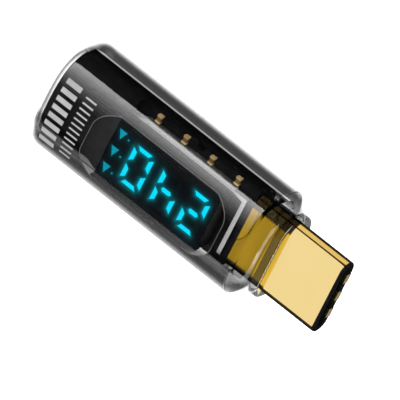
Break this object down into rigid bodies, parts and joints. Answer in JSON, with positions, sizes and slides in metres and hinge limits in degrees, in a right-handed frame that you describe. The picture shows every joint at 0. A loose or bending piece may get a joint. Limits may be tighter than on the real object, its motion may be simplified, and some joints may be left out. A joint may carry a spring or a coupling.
{
  "type": "usb power meter",
  "caption": "In-line power meter in a smoked clear body, with a three-digit segment display, a USB-C receptacle at its rear end and a USB-C plug at its front end.",
  "frame": {"origin": "under the middle of the whole length, on the flat underside of the body", "axes": "+X along the body from the receptacle end to the plug tip, +Y across the body, +Z the side that the display faces"},
  "size_m": [0.0338, 0.0116, 0.0093],
  "materials": {
    "smoked_plastic": "polished clear, tinted dark grey",
    "collar_plastic": "polished clear, tinted dark grey",
    "window_plastic": "polished clear, tinted dark grey",
    "display_film": "dark film, satin",
    "black_plastic": "fine satin",
    "housing_black": "fine satin",
    "pale_plastic": "translucent grey, satin",
    "digit_light": "lit blue",
    "led_emitter": "matt",
    "circuit_board": "black solder mask",
    "chip_black": "moulded epoxy",
    "capacitor_ceramic": "fired ceramic with gilt ends",
    "resistor_metal": "bare metal strip",
    "plated_gold": "polished gold plating",
    "contact_gold": "gold flash on copper",
    "steel": "bright nickel plating"
  },
  "bodies": {
    "root": {"shell": "smoked_plastic", "front_cap": "smoked_plastic", "nose_collar": "collar_plastic", "display_window": "window_plastic", "receptacle_holder": "black_plastic", "board_tray": "black_plastic", "display_film": "display_film", "display_housing": "housing_black", "display_frame": "pale_plastic", "display_board": "circuit_board", "digit_hundreds": "digit_light", "digit_tens": "digit_light", "digit_ones": "digit_light", "unit_marks": "digit_light", "led_array_hundreds": "led_emitter", "led_array_tens": "led_emitter", "led_array_ones": "led_emitter", "led_array_units": "led_emitter", "main_board": "circuit_board", "capacitor_1": "capacitor_ceramic", "capacitor_2": "capacitor_ceramic", "capacitor_3": "capacitor_ceramic", "capacitor_4": "capacitor_ceramic", "meter_controller": "chip_black", "cable_marker_chip": "chip_black", "voltage_regulator": "chip_black", "current_shunt": "resistor_metal", "inductor": "chip_black", "surge_diode": "chip_black", "receptacle_shell": "steel", "receptacle_insulator": "black_plastic", "receptacle_mid_plate": "steel", "receptacle_contacts_upper": "contact_gold", "receptacle_contacts_lower": "contact_gold", "plug_shell": "plated_gold", "plug_insulator": "black_plastic", "plug_latch": "steel", "plug_contacts_upper": "contact_gold", "plug_contacts_lower": "contact_gold", "plug_ground_spring_upper": "contact_gold", "plug_ground_spring_lower": "contact_gold"}
  },
  "joints": []
}
